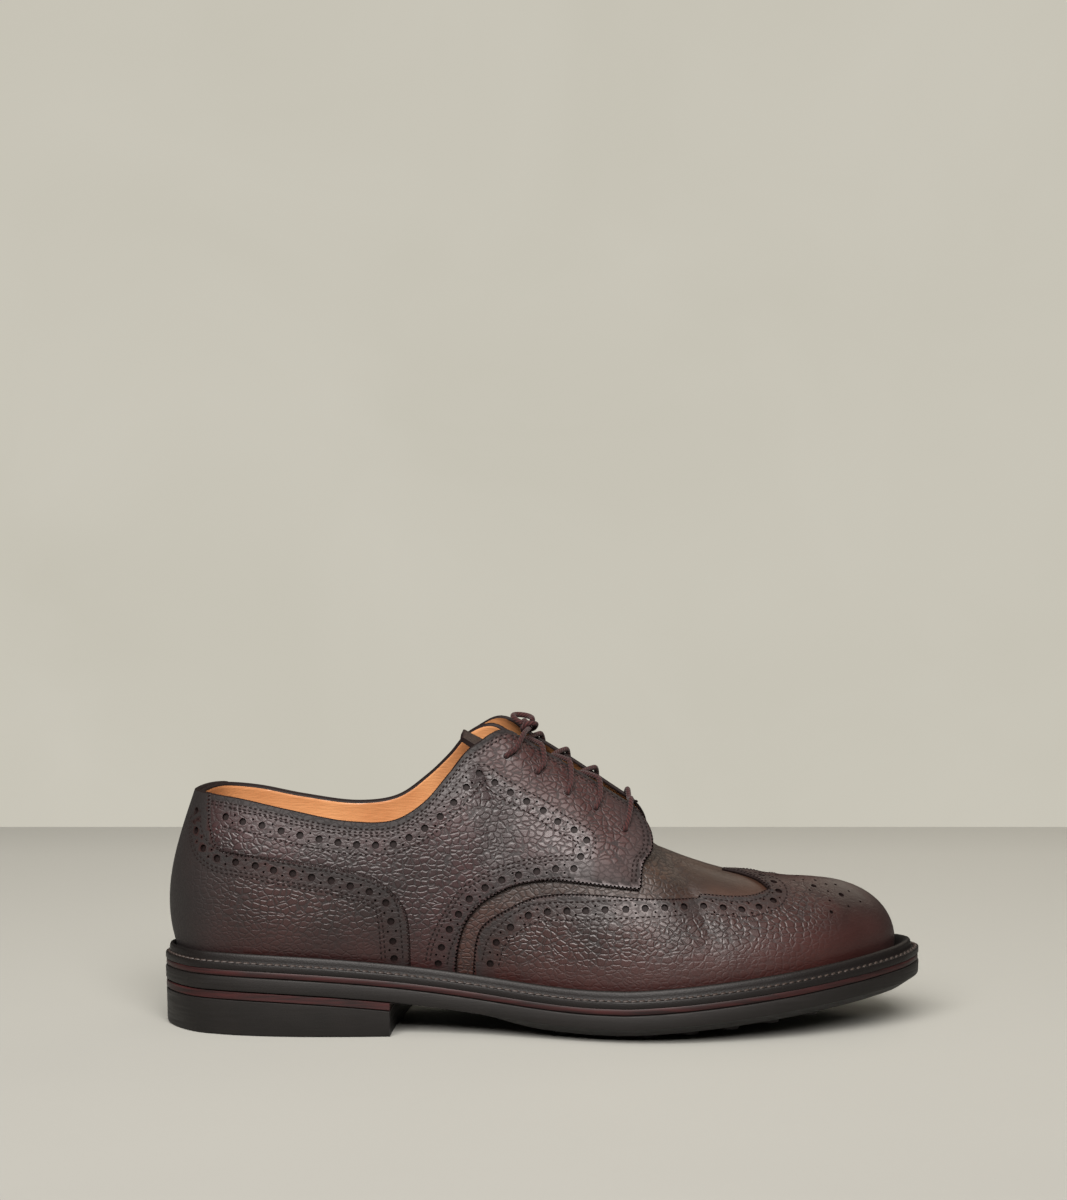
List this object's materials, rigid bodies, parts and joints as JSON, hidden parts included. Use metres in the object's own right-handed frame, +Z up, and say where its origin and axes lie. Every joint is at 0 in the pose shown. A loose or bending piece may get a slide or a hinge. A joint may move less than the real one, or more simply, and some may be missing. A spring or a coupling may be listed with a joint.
{
  "type": "brogue derby shoe",
  "caption": "Right wing-tip brogue derby shoe: hollow leather upper with brogued overlays, round laces, storm welt, leather midsole and studded rubber sole with heel.",
  "frame": {"origin": "under the middle of the shoe's box, on the floor", "axes": "+X towards the toe, +Y towards the medial side, +Z up"},
  "size_m": [0.303, 0.1046, 0.1231],
  "materials": {
    "grain_leather": "dark burgundy-brown pebble-grain calf, semi-gloss",
    "lining_leather": "tan lining leather, satin",
    "insole_leather": "tan insole leather, satin",
    "welt_leather": "black-stained welt leather with brown stitches",
    "edge_leather": "dark red waxed edge",
    "sole_rubber": "matte black rubber",
    "lace_cotton": "dark brown waxed cotton, braided"
  },
  "bodies": {
    "root": {"upper": "lining_leather", "quarter_lateral": "grain_leather", "quarter_medial": "grain_leather", "wing_cap": "grain_leather", "heel_counter": "grain_leather", "tongue": "grain_leather", "insole": "insole_leather", "welt": "welt_leather", "midsole": "edge_leather", "outsole": "sole_rubber", "heel_lift": "edge_leather", "heel_block": "sole_rubber", "lace_bar": "lace_cotton", "lace_cross_1": "lace_cotton", "lace_cross_2": "lace_cotton", "lace_cross_3": "lace_cotton", "lace_knot": "lace_cotton", "lace_loop": "lace_cotton"}
  },
  "joints": []
}
